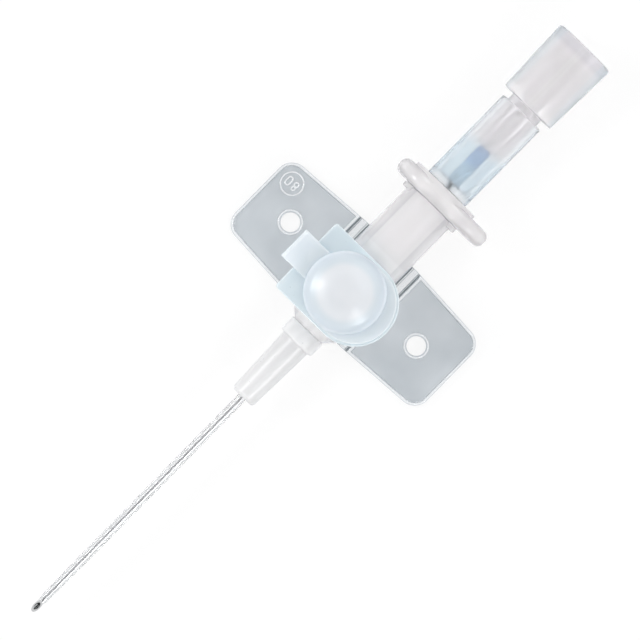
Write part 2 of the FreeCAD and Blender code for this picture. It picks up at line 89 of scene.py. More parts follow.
# Mesh tools
def rounded(corners):
    # A closed outline whose corners (across, up, radius) are arcs where a radius is given.
    spots = [Vector((corner[0], corner[1], 0)) for corner in corners]
    done = []
    for index, corner in enumerate(corners):
        here = spots[index]
        if len(corner) < 3:
            done.append((here.x, here.y))
            continue
        before = (spots[index - 1] - here).normalized()
        after = (spots[(index + 1) % len(spots)] - here).normalized()
        half = before.angle(after) / 2
        centre = here + (before + after).normalized() * corner[2] / math.sin(half)
        start = here + before * corner[2] / math.tan(half) - centre
        turn = (math.pi - 2 * half) * (1 if before.cross(after).z < 0 else -1)
        steps = max(CORNER_STEPS, math.ceil(corner[2] * abs(turn) / ARC_STEP))
        for step in range(steps + 1):
            angle = math.atan2(start.y, start.x) + turn * step / steps
            done.append((centre.x + corner[2] * math.cos(angle), centre.y + corner[2] * math.sin(angle)))
    return done


def tidy_mesh(mesh):
    work = bmesh.new()
    work.from_mesh(mesh)
    bmesh.ops.remove_doubles(work, verts=work.verts, dist=WELD)
    bmesh.ops.dissolve_degenerate(work, edges=work.edges, dist=WELD)
    bmesh.ops.recalc_face_normals(work, faces=work.faces)
    work.to_mesh(mesh)
    work.free()


def new_piece(name, verts, faces):
    mesh = bpy.data.meshes.new(name)
    mesh.from_pydata(verts, [], faces)
    tidy_mesh(mesh)
    piece = bpy.data.objects.new(name, mesh)
    bpy.context.scene.collection.objects.link(piece)
    return piece


def lathe(name, outline, upright=False, steps=TURN_STEPS):
    # Turns a closed outline (along, radius) about the needle's axis, or about the port's.
    verts = []
    for step in range(steps):
        angle = math.tau * step / steps
        for along, radius in outline:
            side = radius * math.cos(angle)
            rise = radius * math.sin(angle)
            verts.append((side, rise, along) if upright else (along, side, AXIS_HEIGHT + rise))
    count = len(outline)
    faces = []
    for step in range(steps):
        here = step * count
        there = (step + 1) % steps * count
        for index in range(count):
            after = (index + 1) % count
            if outline[index][1] < ON_AXIS and outline[after][1] < ON_AXIS:
                continue
            faces.append((here + index, here + after, there + after, there + index))
    return new_piece(name, verts, faces)


def slab(name, outline, low, high, edge, place):
    # A plate between two levels with its edges rounded; place puts (across, up, level) in space.
    count = len(outline)
    outward = []
    for index in range(count):
        before = Vector(outline[index - 1])
        after = Vector(outline[(index + 1) % count])
        along = (after - before).normalized()
        outward.append((along.y, -along.x))
    area = sum(outline[i - 1][0] * outline[i][1] - outline[i][0] * outline[i - 1][1] for i in range(count))
    sign = 1 if area > 0 else -1
    levels = []
    for step in range(CORNER_STEPS + 1):
        angle = math.pi / 2 * step / CORNER_STEPS
        levels.append((edge * (1 - math.sin(angle)), edge * (1 - math.cos(angle))))
    rows = [(inset, low + rise) for inset, rise in levels]
    rows += [(inset, high - rise) for inset, rise in reversed(levels)]
    verts = []
    for inset, level in rows:
        for (across, up), (side, rise) in zip(outline, outward):
            verts.append(place(across - side * inset * sign, up - rise * inset * sign, level))
    faces = [tuple(range(count)), tuple(range(count * (len(rows) - 1), count * len(rows)))]
    for row in range(len(rows) - 1):
        for index in range(count):
            after = (index + 1) % count
            faces.append((row * count + index, row * count + after,
                          (row + 1) * count + after, (row + 1) * count + index))
    return new_piece(name, verts, faces)


def flat(across, up, level):
    return across, up, level


def crosswise(across, up, level):
    return level, across, up


def facing_x(across, up, level):
    return level, across, AXIS_HEIGHT + up


def combine(piece, tool, operation):
    modifier = piece.modifiers.new("combine", "BOOLEAN")
    modifier.operation = operation
    modifier.solver = "EXACT"
    modifier.object = tool
    graph = bpy.context.evaluated_depsgraph_get()
    mesh = bpy.data.meshes.new_from_object(piece.evaluated_get(graph))
    piece.modifiers.clear()
    old = piece.data
    piece.data = mesh
    tidy_mesh(mesh)
    mesh.name = piece.name
    bpy.data.meshes.remove(old)
    bpy.data.objects.remove(tool)
    return piece


def add(piece, *tools):
    for tool in tools:
        combine(piece, tool, "UNION")
    return piece


def cut(piece, *tools):
    for tool in tools:
        combine(piece, tool, "DIFFERENCE")
    return piece


# Material tools
WHITE = (1.0, 1.0, 1.0)
EDGE_SHADE_SPAN = (0.45, 0.95)
ROUGH_SPREAD = (0.8, 1.2)
STEEL_ROUGHNESS = (0.14, 0.24)
FELT_ROUGHNESS = (0.8, 0.95)
# Zones of tint are measured along the part from the port, to both its sides, or around the port.
DIRECTIONS = {"along": (1.0, 0.0, 0.0), "side": (0.0, 1.0, 0.0), "port": (1.0, 1.0, 0.0)}


def new_material(name):
    mat = bpy.data.materials.new(name)
    mat.use_nodes = True
    tree = mat.node_tree
    shader = tree.nodes["Principled BSDF"]
    return mat, tree, shader


def noise(tree, scale, detail=3.0, stretch=None):
    coord = tree.nodes.new("ShaderNodeTexCoord")
    tex = tree.nodes.new("ShaderNodeTexNoise")
    tex.inputs["Scale"].default_value = scale
    tex.inputs["Detail"].default_value = detail
    source = coord.outputs["Object"]
    if stretch:
        mapping = tree.nodes.new("ShaderNodeMapping")
        mapping.inputs["Scale"].default_value = stretch
        tree.links.new(source, mapping.inputs["Vector"])
        source = mapping.outputs["Vector"]
    tree.links.new(source, tex.inputs["Vector"])
    return tex.outputs["Fac"]


def colour_stops(tree, source, stops):
    # stops are (place from 0 to 1, colour) pairs.
    node = tree.nodes.new("ShaderNodeValToRGB")
    elements = node.color_ramp.elements
    while len(elements) < len(stops):
        elements.new(1.0)
    for element, (place, colour) in zip(elements, stops):
        element.position = place
        element.color = (*colour, 1.0)
    tree.links.new(source, node.inputs["Fac"])
    return node.outputs["Color"]


def ramp(tree, source, low, high, span=(0.3, 0.7)):
    return colour_stops(tree, source, list(zip(span, (low, high))))


def spread(tree, source, low, high):
    node = tree.nodes.new("ShaderNodeMapRange")
    node.inputs["To Min"].default_value = low
    node.inputs["To Max"].default_value = high
    tree.links.new(source, node.inputs["Value"])
    return node.outputs["Result"]


def bump(tree, shader, source, height):
    node = tree.nodes.new("ShaderNodeBump")
    node.inputs["Strength"].default_value = 1.0
    node.inputs["Distance"].default_value = height
    tree.links.new(source, node.inputs["Height"])
    tree.links.new(node.outputs["Normal"], shader.inputs["Normal"])


def plastic(name, low, high, rough, through=0.0, milk=0.0, radius=0.001, ior=1.49, grain=2500.0,
            height=2e-7, cloud=260.0, edge=None, edge_shade_span=EDGE_SHADE_SPAN, lamp_share=0.0, zones=None):
    # low and high are the two tints of a soft cloud. edge darkens them where the surface turns away: painted
    # shade for the dark reflections along the rims, together with the longer way through plastic. zones
    # holds (millimetres, tint) stops for each direction, which paint light and shade on some parts.
    mat, tree, shader = new_material(name)
    tint = ramp(tree, noise(tree, cloud), low, high)
    for direction, zone in (zones or {}).items():
        tint = multiply(tree, tint, zone_tint(tree, zone, DIRECTIONS[direction]))
    if edge:
        facing = tree.nodes.new("ShaderNodeLayerWeight")
        facing.inputs["Blend"].default_value = 0.5
        rim = ramp(tree, facing.outputs["Facing"], WHITE, edge, edge_shade_span)
        tint = multiply(tree, tint, rim)
    tree.links.new(tint, shader.inputs["Base Color"])
    fine = noise(tree, grain, 4.0)
    smooth, dull = (rough * share for share in ROUGH_SPREAD)
    tree.links.new(spread(tree, fine, smooth, dull), shader.inputs["Roughness"])
    bump(tree, shader, fine, height)
    shader.inputs["IOR"].default_value = ior
    shader.inputs["Transmission Weight"].default_value = through
    shader.inputs["Subsurface Weight"].default_value = milk
    shader.inputs["Subsurface Radius"].default_value = (radius, radius, radius)
    shader.inputs["Subsurface Scale"].default_value = 1.0
    if lamp_share:
        pass_lamps(tree, shader, high, lamp_share)
    return mat


def zone_tint(tree, zone, direction):
    coord = tree.nodes.new("ShaderNodeTexCoord")
    level = tree.nodes.new("ShaderNodeVectorMath")
    level.operation = "MULTIPLY"
    level.inputs[1].default_value = direction
    tree.links.new(coord.outputs["Object"], level.inputs[0])
    length = tree.nodes.new("ShaderNodeVectorMath")
    length.operation = "LENGTH"
    tree.links.new(level.outputs[0], length.inputs[0])
    low, high = zone[0][0], zone[-1][0]
    span = tree.nodes.new("ShaderNodeMapRange")
    span.inputs["From Min"].default_value = low * MM
    span.inputs["From Max"].default_value = high * MM
    tree.links.new(length.outputs["Value"], span.inputs["Value"])
    stops = [((place - low) / (high - low), tint) for place, tint in zone]
    return colour_stops(tree, span.outputs["Result"], stops)


def multiply(tree, first, second):
    node = tree.nodes.new("ShaderNodeMix")
    node.data_type = "RGBA"
    node.blend_type = "MULTIPLY"
    node.inputs["Factor"].default_value = 1.0
    colours = [socket for socket in node.inputs if socket.type == "RGBA"]
    tree.links.new(first, colours[0])
    tree.links.new(second, colours[1])
    return next(socket for socket in node.outputs if socket.type == "RGBA")


def pass_lamps(tree, shader, tint, share):
    # Lamp light reaches what is inside a clear piece.
    clear = tree.nodes.new("ShaderNodeBsdfTransparent")
    clear.inputs["Color"].default_value = (*tint, 1.0)
    path = tree.nodes.new("ShaderNodeLightPath")
    part = tree.nodes.new("ShaderNodeMath")
    part.operation = "MULTIPLY"
    part.inputs[1].default_value = share
    tree.links.new(path.outputs["Is Shadow Ray"], part.inputs[0])
    mix = tree.nodes.new("ShaderNodeMixShader")
    tree.links.new(part.outputs[0], mix.inputs["Fac"])
    tree.links.new(shader.outputs[0], mix.inputs[1])
    tree.links.new(clear.outputs[0], mix.inputs[2])
    tree.links.new(mix.outputs[0], tree.nodes["Material Output"].inputs["Surface"])


def drawn_steel(name, low, high):
    # Fine drawing lines run along the needle.
    mat, tree, shader = new_material(name)
    lines = noise(tree, 9000.0, 4.0, stretch=(0.01, 1.0, 1.0))
    tree.links.new(ramp(tree, lines, low, high), shader.inputs["Base Color"])
    tree.links.new(spread(tree, lines, *STEEL_ROUGHNESS), shader.inputs["Roughness"])
    bump(tree, shader, lines, 1e-7)
    shader.inputs["Metallic"].default_value = 1.0
    return mat


def felt_disc():
    mat, tree, shader = new_material("porous_felt")
    grains = noise(tree, 7000.0, 5.0)
    tree.links.new(ramp(tree, grains, (0.78, 0.78, 0.76), (0.92, 0.92, 0.90)), shader.inputs["Base Color"])
    tree.links.new(spread(tree, grains, *FELT_ROUGHNESS), shader.inputs["Roughness"])
    bump(tree, shader, grains, 2e-5)
    return mat


# Edge tints darken a plastic where it turns away, as painted shade. On the hub, a painted highlight band and
# a painted shade line beside the axis stand for the light at the socket's wall seen through it, the barrel
# next to the cap is painted lighter against the cap's shadow, and the nose is denser.
MILKY = plastic(
    "hub_milky", (0.950, 0.940, 0.947), (0.970, 0.960, 0.967), 0.15, through=0.52, milk=0.9, radius=0.0012,
    lamp_share=0.7, edge=(0.82, 0.83, 0.85), zones={
        "side": [(0.0, (0.99, 0.99, 0.99)), (1.75, (0.98, 0.98, 0.985)), (1.86, WHITE), (2.12, WHITE),
                 (2.25, (0.83, 0.84, 0.86)), (2.5, (0.88, 0.89, 0.90)), (3.0, (0.96, 0.96, 0.96))],
        "along": [(5.0, WHITE), (6.1, WHITE), (6.4, (0.92, 0.92, 0.92)), (17.0, (0.915, 0.915, 0.92))]})
# Painted shade on the nose's sides, against the lamps' light from the sides, and painted light on the collar
# next to the cap, against the cap's shadow.
NOSE = plastic(
    "nose_milky", (0.880, 0.880, 0.885), (0.910, 0.910, 0.915), 0.30, through=0.26, milk=0.9, radius=0.0012,
    lamp_share=0.7, edge=(0.84, 0.85, 0.87), zones={
        "side": [(0.0, WHITE), (0.45, WHITE), (0.9, (0.94, 0.94, 0.94)), (2.3, (0.95, 0.95, 0.95))],
        "along": [(5.8, WHITE), (7.7, WHITE), (7.85, (0.92, 0.92, 0.92)), (17.0, (0.91, 0.91, 0.91))]})
GRIP = plastic(
    "grip_milky", (0.895, 0.880, 0.886), (0.920, 0.905, 0.911), 0.20, through=0.50, milk=0.9, radius=0.0012,
    lamp_share=0.6, edge=(0.82, 0.83, 0.85), zones={
        "side": [(0.0, WHITE), (2.2, WHITE), (3.6, (0.87, 0.87, 0.88)), (7.0, (0.91, 0.91, 0.91))]})
# The wings are darkened where they turn away, as painted shade, and the bend grooves get a dark plastic as
# painted shade.
WING = plastic(
    "wing_panel", (0.41, 0.45, 0.485), (0.60, 0.64, 0.675), 0.36, through=0.75, grain=9000.0, height=1.0e-6,
    cloud=120.0, lamp_share=0.5, edge=(0.35, 0.38, 0.42))
WING_RIM = plastic(
    "wing_rim", (0.91, 0.935, 0.955), (0.95, 0.965, 0.98), 0.12, through=0.85, lamp_share=0.5,
    edge=(0.36, 0.40, 0.43), edge_shade_span=(0.10, 0.60))
WING_BEND_SHADE = plastic(
    "wing_bend_shade", (0.17, 0.20, 0.22), (0.22, 0.25, 0.27), 0.30, through=0.4, lamp_share=0.3)
# Lid and collar are darkened where they turn away, as painted shade. Around the port the lid is paler on the
# crown, where the white port shows through, bluer on the shoulder as painted shade, with a painted highlight
# line at the skirt's foot and a paler strap end.
LID = plastic(
    "lid_blue", (0.73, 0.77, 0.805), (0.77, 0.80, 0.83), 0.31, through=0.15, milk=0.8, radius=0.0008,
    lamp_share=0.95, edge=(0.88, 0.93, 0.96), zones={
        "port": [(0.0, (0.97, 0.95, 0.94)), (2.9, (0.97, 0.95, 0.94)), (3.5, (0.86, 0.89, 0.90)),
                 (4.3, (0.83, 0.87, 0.90)), (4.48, (0.92, 0.94, 0.96)), (4.7, (0.92, 0.93, 0.93)),
                 (5.2, (0.93, 0.94, 0.925)), (6.4, (0.99, 1.0, 1.0))]})
CAP = plastic(
    "collar_blue", (0.67, 0.74, 0.775), (0.73, 0.785, 0.81), 0.30, through=0.2, milk=0.8, radius=0.0008,
    lamp_share=0.95, edge=(0.92, 0.96, 1.0))
CLEAR = plastic(
    "chamber_clear", (0.95, 0.945, 0.955), (0.97, 0.965, 0.975), 0.10, through=0.85, milk=0.8,
    lamp_share=0.6, edge=(0.45, 0.56, 0.65), zones={
        "along": [(16.0, WHITE), (17.0, (0.86, 0.93, 0.965)), (21.5, (0.87, 0.935, 0.965)), (23.0, WHITE)],
        "side": [(0.0, WHITE), (2.0, WHITE), (2.3, (0.93, 0.96, 0.98)), (2.8, (0.92, 0.955, 0.98))]})
STOPPER = plastic(
    "stopper_milky", (0.940, 0.930, 0.935), (0.960, 0.950, 0.955), 0.16, through=0.68, milk=0.9,
    lamp_share=0.6, edge=(0.70, 0.78, 0.82), zones={
        "side": [(0.0, (0.99, 0.98, 0.985)), (0.25, WHITE), (0.5, (0.97, 0.96, 0.97)),
                 (2.6, (0.97, 0.96, 0.97)), (2.9, (0.92, 0.955, 0.98)), (3.8, (0.92, 0.96, 0.985))],
        "along": [(0.0, WHITE), (36.4, WHITE), (37.0, (0.88, 0.885, 0.90))]})
BLUE = plastic(
    "flash_blue", (0.63, 0.76, 0.86), (0.69, 0.81, 0.90), 0.35, through=0.3, zones={
        "along": [(17.0, (1.0, 1.0, 0.99)), (19.5, (0.90, 0.95, 0.99)), (20.3, (0.63, 0.72, 0.93)),
                  (22.3, (0.61, 0.70, 0.93))]})
FILM = plastic(
    "catheter_clear", (0.95, 0.955, 0.96), (0.965, 0.97, 0.975), 0.10, through=0.88, ior=1.32, milk=0.8,
    lamp_share=0.7, edge=(0.58, 0.60, 0.62), grain=600.0, height=1e-8)
RUBBER = plastic("valve_rubber", (0.80, 0.80, 0.79), (0.85, 0.85, 0.84), 0.5, milk=0.4)
STEEL = drawn_steel("needle_steel", (0.74, 0.75, 0.76), (0.84, 0.85, 0.86))
BORE_SHADE = drawn_steel("bore_shade_steel", (0.14, 0.145, 0.15), (0.20, 0.205, 0.21))
FELT = felt_disc()


def finish_piece(piece, node, *materials):
    mesh = piece.data
    mesh.transform(Matrix.Scale(MM, 4))
    mesh.shade_smooth()
    mesh.set_sharp_from_angle(angle=SHARP_ANGLE)
    mesh.materials.clear()
    for mat in materials:
        mesh.materials.append(mat)
    for poly in mesh.polygons:
        poly.material_index = 0
    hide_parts(node)
    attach(piece, BODIES[node])
    return piece


# Needle and catheter
NEEDLE_RADIUS = 0.4
NEEDLE_BORE = 0.25
NEEDLE_BEVEL = 1.63
FACET_SHARE = 0.12
FACET_SIDE = 0.3
FACET_LEAN = (-0.22, 0.55)
BORE_SHADE_MARGIN = 0.01
TUBE_WALL_SLOPE = 0.1
BEVEL_SLOPE = 0.2
TUBE_RADIUS = 0.55
TUBE_BORE = 0.43
TUBE_TAPER = 7.4
TUBE_TIP_RADIUS = 0.46
SEAT_FRONT = -8.2
SEAT_END = -10.6
FLARE_END = -11.2
FLARED_RADIUS = 0.7
THIN_WALL = 0.1
FUNNEL_RADIUS = 1.02
FUNNEL_GAP = 0.04
TUBE_LIP = 0.02


def grind_point(piece):
    # The long slant, then the two short facets that sharpen the point.
    work = bmesh.new()
    work.from_mesh(piece.data)
    heel = Vector((NEEDLE_TIP + NEEDLE_BEVEL, 0, AXIS_HEIGHT + NEEDLE_RADIUS))
    point = Vector((NEEDLE_TIP, 0, AXIS_HEIGHT - NEEDLE_RADIUS))
    rise = (heel - point).normalized()
    slant = Vector((-rise.z, 0, rise.x))
    cuts = [(point, slant)]
    for side in (1, -1):
        facet = (slant + Vector((FACET_LEAN[0], side * FACET_LEAN[1], 0))).normalized()
        cuts.append((point + rise * FACET_SHARE * NEEDLE_BEVEL + Vector((0, side * FACET_SIDE, 0)), facet))
    for spot, normal in cuts:
        geometry = work.verts[:] + work.edges[:] + work.faces[:]
        done = bmesh.ops.bisect_plane(work, geom=geometry, plane_co=spot, plane_no=normal, clear_outer=True)
        rim = [item for item in done["geom_cut"] if isinstance(item, bmesh.types.BMEdge)]
        bmesh.ops.triangle_fill(work, edges=rim, use_beauty=True)
    bmesh.ops.recalc_face_normals(work, faces=work.faces)
    work.to_mesh(piece.data)
    work.free()


def make_needle():
    piece = lathe("needle_shaft", [
        (NEEDLE_TIP, NEEDLE_BORE), (NEEDLE_TIP, NEEDLE_RADIUS),
        (NEEDLE_BACK, NEEDLE_RADIUS), (NEEDLE_BACK, NEEDLE_BORE)], steps=FINE_STEPS)
    grind_point(piece)
    finish_piece(piece, "needle", STEEL, BORE_SHADE)
    # The bore's wall gets a dark steel as painted shade, and the ground faces are flat.
    for poly in piece.data.polygons:
        away = math.hypot(poly.center.y, poly.center.z - AXIS_HEIGHT * MM) / MM
        if away < NEEDLE_BORE + BORE_SHADE_MARGIN and abs(poly.normal.x) < TUBE_WALL_SLOPE:
            poly.material_index = 1
        if abs(poly.normal.x) > BEVEL_SLOPE:
            poly.use_smooth = False


def make_catheter():
    shaft = lathe("catheter_shaft", rounded([
        (TUBE_TIP, TUBE_BORE), (TUBE_TIP, TUBE_TIP_RADIUS, TUBE_LIP), (TUBE_TIP + TUBE_TAPER, TUBE_RADIUS),
        (FLARE_END, TUBE_RADIUS), (SEAT_END, FLARED_RADIUS), (TUBE_BACK, FLARED_RADIUS),
        (TUBE_BACK, FLARED_RADIUS - THIN_WALL), (SEAT_END - THIN_WALL, FLARED_RADIUS - THIN_WALL),
        (FLARE_END, TUBE_BORE)]))
    finish_piece(shaft, "catheter_tube", FILM)
    outer = FLARED_RADIUS - THIN_WALL
    mouth = FUNNEL_RADIUS - FUNNEL_GAP
    funnel = lathe("ferrule_funnel", [
        (FERRULE_FRONT, outer), (FERRULE_FRONT, outer - THIN_WALL), (SEAT_FRONT, outer - THIN_WALL),
        (FERRULE_BACK, mouth - THIN_WALL), (FERRULE_BACK - THIN_WALL, mouth), (SEAT_FRONT, outer)])
    finish_piece(funnel, "catheter_ferrule", STEEL)


# Hub with its port and valve
COLLAR_FRONT = -7.78
SHOULDER_FRONT = -5.85
SHOULDER_BACK = -4.65
NOSE_FRONT_RADIUS = 1.565
NOSE_BACK_RADIUS = 1.835
COLLAR_RADIUS = 2.265
SHOULDER_RADIUS = 2.1
BARREL_RADIUS = 3.3
MOUTH_RADIUS = 2.15
SOCKET_DEPTH = 8.81
CONE_SLOPE = 0.03
LUG_LENGTH = 0.6
LUG_REACH = 0.6
LUG_HALF_HEIGHT = 1.75
LUG_ROUNDING = 0.5
LUG_EDGE = 0.12
LUG_SINK = 0.01
BOSS_RADIUS = 3.7
BOSS_DROP = 0.03
BOSS_RISE = 3.4
PORT_RADIUS = 3.0
PORT_DEPTH = 5.0
PASSAGE_RADIUS = 1.1
VALVE_RADIUS = 1.85
VALVE_WALL = 0.5
VALVE_CHAMBER_FRONT = -3.6
FUNNEL_FRONT = -7.4
CUT_SPARE = 1.0


def hub_openings():
    # The way through from the socket to the nose, and the port's opening down to the valve.
    socket_floor = BARREL_END - SOCKET_DEPTH
    bore = lathe("bore", [
        (BARREL_END + CUT_SPARE, 0), (BARREL_END + CUT_SPARE, MOUTH_RADIUS + CONE_SLOPE * CUT_SPARE),
        (socket_floor, MOUTH_RADIUS - CONE_SLOPE * SOCKET_DEPTH), (socket_floor, VALVE_RADIUS),
        (VALVE_CHAMBER_FRONT, VALVE_RADIUS), (FUNNEL_FRONT, FUNNEL_RADIUS), (SEAT_FRONT, FLARED_RADIUS),
        (SEAT_END, FLARED_RADIUS), (FLARE_END, TUBE_RADIUS), (NOSE_FRONT - CUT_SPARE, TUBE_RADIUS),
        (NOSE_FRONT - CUT_SPARE, 0)])
    floor = PORT_TOP - PORT_DEPTH
    opening = lathe("opening", [
        (AXIS_HEIGHT + VALVE_RADIUS / 2, 0), (AXIS_HEIGHT + VALVE_RADIUS / 2, PASSAGE_RADIUS),
        (floor, PASSAGE_RADIUS), (floor, MOUTH_RADIUS - CONE_SLOPE * PORT_DEPTH),
        (PORT_TOP + CUT_SPARE, MOUTH_RADIUS + CONE_SLOPE * CUT_SPARE), (PORT_TOP + CUT_SPARE, 0)],
        upright=True)
    return bore, opening


def make_hub():
    piece = lathe("hub_moulding", rounded([
        (NOSE_FRONT, 0), (NOSE_FRONT, NOSE_FRONT_RADIUS, 0.45), (COLLAR_FRONT, NOSE_BACK_RADIUS, 0.12),
        (COLLAR_FRONT, COLLAR_RADIUS, 0.3), (SHOULDER_FRONT, COLLAR_RADIUS, 0.2),
        (SHOULDER_FRONT, SHOULDER_RADIUS), (SHOULDER_BACK, BARREL_RADIUS, 0.4),
        (BARREL_END, BARREL_RADIUS, 0.2), (BARREL_END, 0)]))
    reach = BARREL_RADIUS + LUG_REACH
    lugs = slab("lugs", rounded([
        (-reach, -LUG_HALF_HEIGHT, LUG_ROUNDING), (reach, -LUG_HALF_HEIGHT, LUG_ROUNDING),
        (reach, LUG_HALF_HEIGHT, LUG_ROUNDING), (-reach, LUG_HALF_HEIGHT, LUG_ROUNDING)]),
        BARREL_END - LUG_LENGTH, BARREL_END - LUG_SINK, LUG_EDGE, facing_x)
    boss_low = AXIS_HEIGHT + BOSS_DROP
    boss_top = AXIS_HEIGHT + BOSS_RISE
    port = lathe("port", rounded([
        (boss_low, 0), (boss_low, BOSS_RADIUS, 0.3), (boss_top, BOSS_RADIUS, 0.3),
        (boss_top, PORT_RADIUS, 0.1), (PORT_TOP, PORT_RADIUS, 0.2), (PORT_TOP, 0)]), upright=True)
    add(piece, port, lugs)
    cut(piece, *hub_openings())
    finish_piece(piece, "catheter_hub", MILKY, NOSE)
    for poly in piece.data.polygons:
        if poly.center.x < SHOULDER_FRONT * MM:
            poly.material_index = 1


def make_valve():
    sleeve = lathe("valve_sleeve", rounded([
        (VALVE_FRONT, VALVE_RADIUS - VALVE_WALL, 0.1), (VALVE_FRONT, VALVE_RADIUS, 0.1),
        (VALVE_BACK, VALVE_RADIUS, 0.1), (VALVE_BACK, VALVE_RADIUS - VALVE_WALL, 0.1)]))
    finish_piece(sleeve, "port_valve", RUBBER)


# Needle grip, flash chamber and stopper
FLANGE_GAP = 0.05
FLANGE_THICKNESS = 1.98
FLANGE_FRONT = BARREL_END + FLANGE_GAP
FLANGE_BACK = FLANGE_FRONT + FLANGE_THICKNESS
FLANGE_MIDDLE = FLANGE_FRONT + FLANGE_THICKNESS / 2
FLANGE_HALF = 6.48
FLANGE_HALF_HEIGHT = 3.8
FLANGE_OFFSET = -0.67
FLANGE_EDGE = 0.85
FLANGE_OVERLAP = 1.0
BOSS_HALF = 4.37
BOSS_INSET = 0.05
BOSS_EDGE = 0.15
TAPER_GAP = 0.03
SPIGOT_RADIUS = 2.1
CHAMBER_RADIUS = 2.865
STEM_BACK_RADIUS = 2.2
STEM_BORE = 1.0
STEM_LENGTH = 6.6
HEAD_FRONT = STEM_FRONT + STEM_LENGTH
STEM_FRONT_RADIUS = STEM_BACK_RADIUS - CONE_SLOPE * STEM_LENGTH
HEAD_FRONT_RADIUS = 3.5
HEAD_BACK_RADIUS = 3.8
HEAD_WALL = 0.5
HEAD_WEB = 1.26
CORE_RADIUS = 2.7
CORE_RECESS = 0.44
NOTCH_LENGTH = 1.0
NOTCH_SIDE = 1.3
NOTCH_MARGIN = 0.06
NOTCH_OUT = 0.2
NOTCH_EDGE = 0.02
DISC_RADIUS = 1.4
FLASH_RADIUS = 0.825
FLASH_BORE = 0.55


def oval(half, half_height, shift):
    rounding = half_height - BOSS_INSET
    return rounded([(shift - half, -half_height, rounding), (shift + half, -half_height, rounding),
                    (shift + half, half_height, rounding), (shift - half, half_height, rounding)])


def make_grip():
    piece = slab("grip_moulding", oval(FLANGE_HALF, FLANGE_HALF_HEIGHT, FLANGE_OFFSET),
                 FLANGE_FRONT, FLANGE_BACK, FLANGE_EDGE, facing_x)
    boss = slab("boss", oval(BOSS_HALF, FLANGE_HALF_HEIGHT - BOSS_INSET, 0), FLANGE_MIDDLE, GRIP_BACK,
                BOSS_EDGE, facing_x)
    wide = MOUTH_RADIUS - TAPER_GAP
    cone_length = BARREL_END - GRIP_FRONT
    nose = lathe("nose", rounded([
        (GRIP_FRONT, 0), (GRIP_FRONT, wide - CONE_SLOPE * cone_length, 0.5), (BARREL_END, wide),
        (FLANGE_FRONT + FLANGE_OVERLAP, wide), (FLANGE_FRONT + FLANGE_OVERLAP, 0)]))
    add(piece, boss, nose)
    bore = lathe("bore", [
        (GRIP_FRONT - CUT_SPARE, 0), (GRIP_FRONT - CUT_SPARE, NEEDLE_RADIUS), (CHAMBER_FRONT, NEEDLE_RADIUS),
        (CHAMBER_FRONT, SPIGOT_RADIUS), (GRIP_BACK + CUT_SPARE, SPIGOT_RADIUS), (GRIP_BACK + CUT_SPARE, 0)])
    cut(piece, bore)
    finish_piece(piece, "needle_grip", GRIP)


def make_chamber():
    narrow = STEM_FRONT_RADIUS + TAPER_GAP
    piece = lathe("chamber_moulding", rounded([
        (CHAMBER_FRONT, NEEDLE_RADIUS), (CHAMBER_FRONT, SPIGOT_RADIUS), (GRIP_BACK, SPIGOT_RADIUS),
        (GRIP_BACK, CHAMBER_RADIUS, 0.2), (CHAMBER_BACK, CHAMBER_RADIUS, 0.15),
        (CHAMBER_BACK, STEM_BACK_RADIUS - CONE_SLOPE * (HEAD_FRONT - CHAMBER_BACK) + TAPER_GAP, 0.1),
        (STEM_FRONT, narrow), (FLASH_FRONT, narrow, 0.2), (FLASH_FRONT, NEEDLE_RADIUS)]))
    finish_piece(piece, "flash_chamber", CLEAR)
    tube = lathe("flash_pipe", rounded([
        (FLASH_FRONT, NEEDLE_RADIUS), (FLASH_FRONT, FLASH_RADIUS), (FLASH_BACK, FLASH_RADIUS, 0.06),
        (FLASH_BACK, FLASH_BORE, 0.06), (NEEDLE_BACK, FLASH_BORE), (NEEDLE_BACK, NEEDLE_RADIUS)]))
    finish_piece(tube, "flash_tube", BLUE)


def make_stopper():
    piece = lathe("stopper_moulding", rounded([
        (STEM_FRONT, STEM_BORE, 0.1), (STEM_FRONT, STEM_FRONT_RADIUS, 0.15),
        (HEAD_FRONT, STEM_BACK_RADIUS, 0.1), (HEAD_FRONT, HEAD_FRONT_RADIUS, 0.2),
        (HEAD_BACK, HEAD_BACK_RADIUS, 0.3), (HEAD_BACK, HEAD_BACK_RADIUS - HEAD_WALL, 0.1),
        (HEAD_FRONT + HEAD_WEB, HEAD_FRONT_RADIUS - HEAD_WALL), (HEAD_FRONT + HEAD_WEB, CORE_RADIUS),
        (HEAD_BACK - CORE_RECESS, CORE_RADIUS, 0.2), (HEAD_BACK - CORE_RECESS, DISC_RADIUS, 0.15),
        (FILTER_FRONT, DISC_RADIUS), (FILTER_FRONT, STEM_BORE)]))
    core_end = HEAD_BACK - CORE_RECESS
    wide = CORE_RADIUS + NOTCH_MARGIN
    notch = slab("notch", [
        (-NOTCH_SIDE, wide), (-wide, CORE_RADIUS / 2), (-wide, -CORE_RADIUS / 2), (-NOTCH_SIDE, -wide)],
        core_end - NOTCH_LENGTH, core_end + NOTCH_OUT, NOTCH_EDGE, facing_x)
    cut(piece, notch)
    finish_piece(piece, "end_stopper", STOPPER)
    disc = lathe("vent_disc", rounded([
        (FILTER_FRONT, 0), (FILTER_FRONT, DISC_RADIUS), (FILTER_BACK, DISC_RADIUS, 0.15), (FILTER_BACK, 0)]))
    finish_piece(disc, "vent_filter", FELT)


